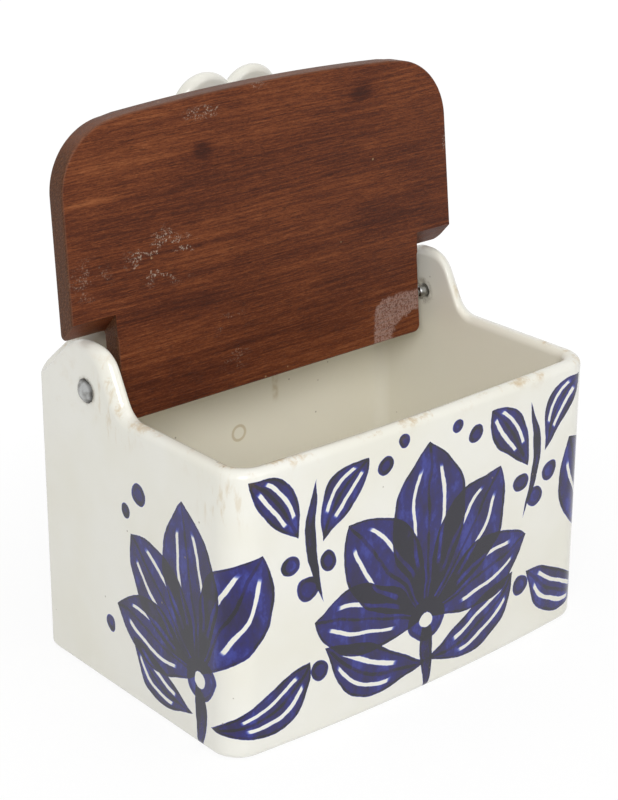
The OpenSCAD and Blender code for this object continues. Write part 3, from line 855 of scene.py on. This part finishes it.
# salt on the lower face: middle, radii and strength
SALT_PATCHES = ((-51, 44, 19, 12, 0.75), (-84, 42, 10, 9, 0.3), (-22, 5, 9, 15, 0.22),
                (-28, 94, 12, 3, 0.5), (-6, 100, 9, 2, 0.4), (91.5, 58, 1.4, 12, 0.6),
                (88, 92, 7, 1.6, 0.3))
SALT_DEPTH = 2.5
CRUST_LEFT, CRUST_TOP, CRUST_ARM = 49.4, 3.3, 57.5
CRUST_END = ((57.0, -6.0, 0.0), (8, 9, NEVER))
BARE_SPOT = ((74.0, -14.0, 0.0), (15, 8.5, NEVER))


def salt_crust(g, board, t):
    """The crust of salt in the corner by the right screw, with a round bare place below it."""
    shift = g.stir(board, g.noise(board, 0.3, 4.0, 0.7, colour=True), 5.0)
    sx, sd, _ = g.split(shift)
    crust = g.mul(g.smooth(sx, CRUST_LEFT - 0.8, CRUST_LEFT + 0.8),
                  g.smooth(sd, CRUST_TOP + 0.9, CRUST_TOP - 0.9))
    arm = g.most(g.smooth(sx, CRUST_ARM - 0.5, CRUST_ARM + 0.5), g.smooth(sd, -6.0, -7.0))
    crust = g.mul(crust, g.most(g.smooth(g.oval(shift, *CRUST_END), 1.1, 0.95), arm))
    crust = g.mul(crust, g.smooth(g.oval(shift, *BARE_SPOT), 0.95, 1.08))
    crust = g.mul(crust, g.smooth(g.noise(board, 1.5, 2.0, 0.6), 0.36, 0.60, 0.22, 1.0))
    return g.mul(crust, g.smooth(t, 3.4, 4.2))


def wood_material():
    mat, g, shader = material("teak")
    board, edge = g.attribute("board", "Vector"), g.attribute("edge", "Fac")
    _, d, t = g.split(board)
    # grain along x, bent a little
    warp = g.noise(board, (0.006, 0.014, 0.014), 3.0, 0.5, colour=True)
    bent = g.stir(board, warp, (0.0, 9.0, 6.0))
    bands = g.noise(bent, (0.004, 0.12, 0.12), 4.0, 0.55)
    streaks = g.noise(bent, (0.012, 0.85, 0.85), 5.0, 0.7)
    fibre = g.noise(board, (0.14, 2.6, 2.6), 3.0, 0.65)
    fleck = g.noise(board, (0.8, 2.6, 2.6), 3.0, 0.7)
    cloud = g.noise(board, (0.016, 0.03, 0.03), 3.0, 0.55)
    tone = g.plus(g.mul(bands, 0.14), g.mul(streaks, 0.34), g.mul(fibre, 0.30),
                  g.mul(fleck, 0.24), g.mul(cloud, 0.20))
    for centre, radii, deep in KNOTS:
        tone = g.minus(tone, g.smooth(g.oval(bent, centre, radii), 1.3, 0.2, 0.0, deep))
    tone = g.plus(tone, g.smooth(g.oval(bent, *PALE_STREAK), 1.2, 0.2, 0.0, 0.10))
    colour = g.ramp(g.smooth(tone, 0.45, 0.79), WOODS)
    pore = g.smooth(g.noise(board, (0.22, 3.2, 3.2), 1.0, 0.5), 0.38, 0.26)
    colour = g.tint(colour, pore, 0.6, PORE)
    colour = g.tint(colour, g.smooth(fleck, 0.58, 0.78), 0.20, PALE_FLECK)
    # end grain on the two sides: greyer, with the pores seen end on
    across = g.split(g.add("ShaderNodeNewGeometry").outputs["Normal"])[0]
    end = g.smooth(g.math("ABSOLUTE", across), 0.55, 0.85)
    weave = g.noise(g.join(g.plus(d, t), g.minus(t, d)), (0.55, 1.6, 0.0), 3.0, 0.7)
    colour = g.tint(colour, end, 0.85, g.ramp(weave, END_WOODS))
    # a lighter, greyer band round the edge of the board: some wear, and painted sheen of the light
    # reflected on the edge
    worn_and_sheen = g.mul(g.smooth(edge, 0.8, 0.1), g.minus(1.0, end))
    colour = g.tint(colour, worn_and_sheen, 0.4, WORN_AND_SHEEN)
    # salt left on the lower face, in thin lines of grains
    grit = g.noise(board, 1.1, 3.0, 0.8)
    drift = g.vec("ADD", g.vec("MULTIPLY", board, (0.05, 0.085, 0.06)), (7.3, 2.1, 0.0))
    line = g.band(g.noise(drift, 1.0, 3.0, 0.6), 0.5, 0.045, 0.02)
    patches = []
    for cx, cd, rx, rd, thick in SALT_PATCHES:
        far = g.oval(board, (cx, cd, LID_T / 2), (rx, rd, SALT_DEPTH))
        patches.append(g.smooth(far, 1.1, 0.5, 0.0, thick))
    salt = g.mul(g.most(*patches), g.mul(line, g.smooth(grit, 0.50, 0.64)))
    crust = salt_crust(g, board, t)
    colour = g.tint(colour, crust, 0.72, CRUST)
    colour = g.tint(colour, salt, 0.85, SALT)
    colour = g.tint(colour, g.smooth(g.cells(board, 0.075), 0.045, 0.02), 0.45, PALE_DOT)
    g.put(shader.inputs["Base Color"], colour)
    g.put(shader.inputs["Roughness"], g.smooth(streaks, 0.3, 0.75, 0.46, 0.6))
    shader.inputs["Specular IOR Level"].default_value = 0.16
    height = g.minus(g.mul(fibre, 0.6), g.mul(pore, 0.8))
    g.bump(shader, g.plus(height, g.mul(g.most(salt, crust), 0.5)), 0.6, 0.0003)
    return mat


# ---------------------------------------------------------------- steel
BRIGHT_STEEL, DULL_STEEL = srgb(176, 177, 176), srgb(112, 110, 106)
# the second colour is painted shade at the edge of the head
RUST_SPOT, HEAD_RIM_SHADE = srgb(96, 78, 62), srgb(52, 48, 44)


def steel_material():
    mat, g, shader = material("steel")
    obj = g.place_mm()
    _, y, z = g.split(obj)
    dull = g.noise(obj, 0.22, 3.0, 0.5)
    colour = g.mix(g.smooth(dull, 0.35, 0.7), BRIGHT_STEEL, DULL_STEEL)
    spots = g.smooth(g.noise(obj, 1.2, 3.0, 0.6), 0.68, 0.78)
    colour = g.tint(colour, spots, 0.35, RUST_SPOT)
    # painted shade: a dark ring round the foot of the head, where it meets the ear
    far = g.vec("DISTANCE", g.join(y, z), HINGE_AT)
    foot = g.mul(g.smooth(far, 3.5, 4.7), g.smooth(dull, 0.2, 0.6, 0.7, 1.0))
    colour = g.tint(colour, foot, 0.9, HEAD_RIM_SHADE)
    g.put(shader.inputs["Base Color"], colour)
    shader.inputs["Metallic"].default_value = 1.0
    g.put(shader.inputs["Roughness"], g.smooth(dull, 0.3, 0.7, 0.16, 0.30))
    g.bump(shader, g.noise(obj, 2.0, 3.0, 0.6), 0.15, 0.0001)
    return mat


# ---------------------------------------------------------------- pieces
glaze, wood, steel = glaze_material(), wood_material(), steel_material()
body = make_body()
lid = make_lid()
screws = {-1: make_screw(-1), 1: make_screw(1)}

body.data.materials.clear()
body.data.materials.append(glaze)
lid.data.materials.clear()
lid.data.materials.append(wood)
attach(body, "box")
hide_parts("box_body")
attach(lid, "lid")
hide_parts("lid_board")
for side, node in ((-1, "hinge_screw_left"), (1, "hinge_screw_right")):
    screws[side].data.materials.append(steel)
    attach(screws[side], "lid")
    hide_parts(node)
for node, mat in (("box_body", glaze), ("lid_board", wood),
                  ("hinge_screw_left", steel), ("hinge_screw_right", steel)):
    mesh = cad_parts[node].data
    mesh.materials.clear()
    mesh.materials.append(mat)

# ---------------------------------------------------------------- floor and surroundings
FLOOR_HALF = 6000.0  # mm
FLOOR_GREY, FLOOR_WHITE = 0.86, 1.03
SHADOW_NEAR, SHADOW_FAR, SHADOW_SHARE = 0.10, 0.40, 0.84
GLOW_LOW, GLOW_HIGH = 0.22, 0.64


def shown(g):
    """1 for what the camera sees, straight or in a reflection, and 0 for light on the object."""
    rays = g.add("ShaderNodeLightPath").outputs
    return g.most(rays["Is Camera Ray"], rays["Is Glossy Ray"])


floor = to_object("floor", [(x * FLOOR_HALF, y * FLOOR_HALF, 0)
                            for x, y in ((-1, -1), (1, -1), (1, 1), (-1, 1))],
                  [(0, 1, 2, 3)], smooth=False)
floor_mat, fg, floor_shader = material("floor")
floor_shader.inputs["Base Color"].default_value = (FLOOR_GREY, FLOOR_GREY, FLOOR_GREY, 1)
floor_shader.inputs["Roughness"].default_value = 0.9
floor_shader.inputs["Specular IOR Level"].default_value = 0.1
floor.data.materials.append(floor_mat)
# away from the box the floor is shown plain white, and near it with its shadow
spot = fg.vec("LENGTH", fg.add("ShaderNodeTexCoord").outputs["Object"])
pale = fg.add("ShaderNodeEmission", {"Color": (1.0, 1.0, 1.0, 1), "Strength": FLOOR_WHITE})
share = fg.mul(shown(fg), fg.smooth(spot, SHADOW_NEAR, SHADOW_FAR, SHADOW_SHARE, 1.0))
both = fg.add("ShaderNodeMixShader", {0: share, 1: floor_shader.outputs[0], 2: pale.outputs[0]})
fg.put(fg.out.inputs["Surface"], both.outputs[0])

world = bpy.data.worlds.new("studio")
bpy.context.scene.world = world
world.use_nodes = True
world.node_tree.nodes.clear()
wg = Graph(world.node_tree)
seen = wg.add("ShaderNodeBackground", {"Color": (1.0, 1.0, 1.0, 1), "Strength": 1.0})
sky = wg.split(wg.add("ShaderNodeTexCoord").outputs["Generated"])[2]
glow = wg.smooth(sky, 0.0, 0.8, GLOW_LOW, GLOW_HIGH)
lit = wg.add("ShaderNodeBackground", {"Color": (1.0, 0.995, 0.98, 1), "Strength": glow})
both = wg.add("ShaderNodeMixShader", {0: shown(wg), 1: lit.outputs[0], 2: seen.outputs[0]})
wg.add("ShaderNodeOutputWorld", {"Surface": both.outputs[0]})


# ---------------------------------------------------------------- lamps and camera, in metres
def area_light(name, at, target, size, power):
    light = bpy.data.lights.new(name, "AREA")
    light.shape, light.size, light.size_y = "RECTANGLE", size, size
    light.energy = power
    obj = bpy.data.objects.new(name, light)
    bpy.context.scene.collection.objects.link(obj)
    obj.location = at
    obj.rotation_mode = "QUATERNION"
    obj.rotation_quaternion = (Vector(target) - Vector(at)).to_track_quat("-Z", "Y")


area_light("key", (-0.95, -1.05, 0.95), (0, 0, 0.1), 0.6, 12.4)
area_light("front", (0.35, -1.35, 1.05), (0, 0, 0.1), 0.8, 4.0)
area_light("top", (0.05, -0.25, 1.4), (0, 0.03, 0.1), 0.8, 1.3)

# the camera as fitted to the photograph: place, right, up and back axes, and roll in degrees
CAMERA_AT = (-0.453118, -0.542073, 0.391175)
CAMERA_RIGHT, CAMERA_UP = Vector((0.77075, -0.63714, 0)), Vector((0.24197, 0.29272, 0.92508))
CAMERA_BACK, CAMERA_ROLL = Vector((-0.58940, -0.71301, 0.37978)), rad(-0.64)

cam_data = bpy.data.cameras.new("photo_camera")
cam = bpy.data.objects.new("photo_camera", cam_data)
bpy.context.scene.collection.objects.link(cam)
bpy.context.scene.camera = cam
cam_data.sensor_width = 36.0
cam_data.lens = 89.04
cam_data.shift_x, cam_data.shift_y = -0.0010875, -0.0016
cam_data.clip_start, cam_data.clip_end = 0.05, 50
rolled_right = CAMERA_RIGHT * math.cos(CAMERA_ROLL) + CAMERA_UP * math.sin(CAMERA_ROLL)
rolled_up = CAMERA_UP * math.cos(CAMERA_ROLL) - CAMERA_RIGHT * math.sin(CAMERA_ROLL)
turn = Matrix((rolled_right, rolled_up, CAMERA_BACK)).transposed()
cam.matrix_world = Matrix.Translation(CAMERA_AT) @ turn.to_4x4()

scene = bpy.context.scene
scene.view_settings.view_transform = "Standard"
